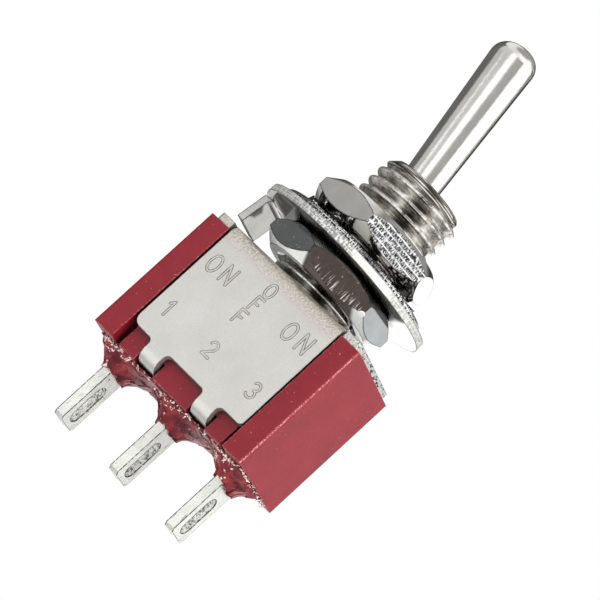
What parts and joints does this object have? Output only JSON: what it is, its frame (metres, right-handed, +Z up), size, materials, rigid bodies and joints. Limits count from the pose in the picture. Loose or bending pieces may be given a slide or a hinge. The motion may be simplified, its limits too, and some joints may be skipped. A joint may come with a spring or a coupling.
{
  "type": "toggle switch",
  "caption": "Miniature panel-mount toggle switch with a bat lever, a threaded bushing with nuts, a lock washer and a keyed ring, a steel frame on a red case, and solder lugs.",
  "frame": {"origin": "on the bushing's axis, in the top face of the steel frame", "axes": "+Z up the bushing towards the lever, +X along the row of lugs, away from the side the lever is thrown to"},
  "size_m": [0.0132, 0.0128, 0.0352],
  "materials": {
    "moulded_red": "slightly glossy thermoset",
    "steel_frame": "matte tin-plated steel",
    "nickel_bright": "bright nickel plate",
    "nickel_dark": "nickel plate",
    "epoxy": "cured epoxy, rough",
    "silver_plate": "silver-plated copper alloy",
    "contact_silver": "silver",
    "nylon": "natural nylon",
    "spring_steel": "drawn wire"
  },
  "bodies": {
    "switch_body": {"case": "moulded_red", "frame": "steel_frame", "bushing": "nickel_bright", "epoxy_seal": "epoxy", "terminal_left": "silver_plate", "terminal_common": "silver_plate", "terminal_right": "silver_plate", "fixed_contact_left": "contact_silver", "fixed_contact_right": "contact_silver"},
    "toggle": {"lever": "nickel_bright", "pivot_pin": "spring_steel", "plunger_spring": "spring_steel"},
    "spring_plunger": {"plunger": "nylon"},
    "rocker": {"blade": "silver_plate", "blade_contact_left": "contact_silver", "blade_contact_right": "contact_silver"},
    "key_ring": {"locking_ring": "nickel_bright"},
    "back_nut": {"lower_nut": "nickel_dark"},
    "tooth_washer": {"lock_washer": "nickel_dark"},
    "front_nut": {"upper_nut": "nickel_bright"}
  },
  "joints": [
    {"name": "lever_tilt", "type": "hinge", "parent": "switch_body", "child": "toggle", "pos_m": [0, 0, 0.0065], "axis": [0, 1, 0], "range_deg": [0, 23]},
    {"name": "blade_rock", "type": "hinge", "parent": "switch_body", "child": "rocker", "pos_m": [0, 0, -0.0057], "axis": [0, 1, 0], "range_deg": [-20, 0]},
    {"name": "plunger_slide", "type": "slide", "parent": "toggle", "child": "spring_plunger", "axis": [-0.1994, 0, 0.9799], "range_m": [0, 0.0004], "stiffness_N_per_m": 150, "springref_m": -0.0006, "deforming": ["plunger_spring"]},
    {"name": "washer_rise", "type": "slide", "parent": "switch_body", "child": "tooth_washer", "axis": [0, 0, 1], "range_m": [0, 0.003]},
    {"name": "front_nut_turn", "type": "hinge", "parent": "tooth_washer", "child": "front_nut", "pos_m": [0, 0, 0.0055], "axis": [0, 0, 1], "range_deg": [0, 1440.01]},
    {"name": "ring_drop", "type": "slide", "parent": "switch_body", "child": "key_ring", "axis": [0, 0, 1], "range_m": [-0.00075, 0]},
    {"name": "back_nut_turn", "type": "hinge", "parent": "key_ring", "child": "back_nut", "pos_m": [0, 0, 0.0018], "axis": [0, 0, 1], "range_deg": [-360.01, 0]}
  ],
  "couplings": [
    {"joint": "blade_rock", "follows": "lever_tilt", "ratio": -0.86957},
    {"joint": "front_nut_turn", "follows": "washer_rise", "rad_per_m": 8377.6},
    {"joint": "back_nut_turn", "follows": "ring_drop", "rad_per_m": 8377.6}
  ]
}
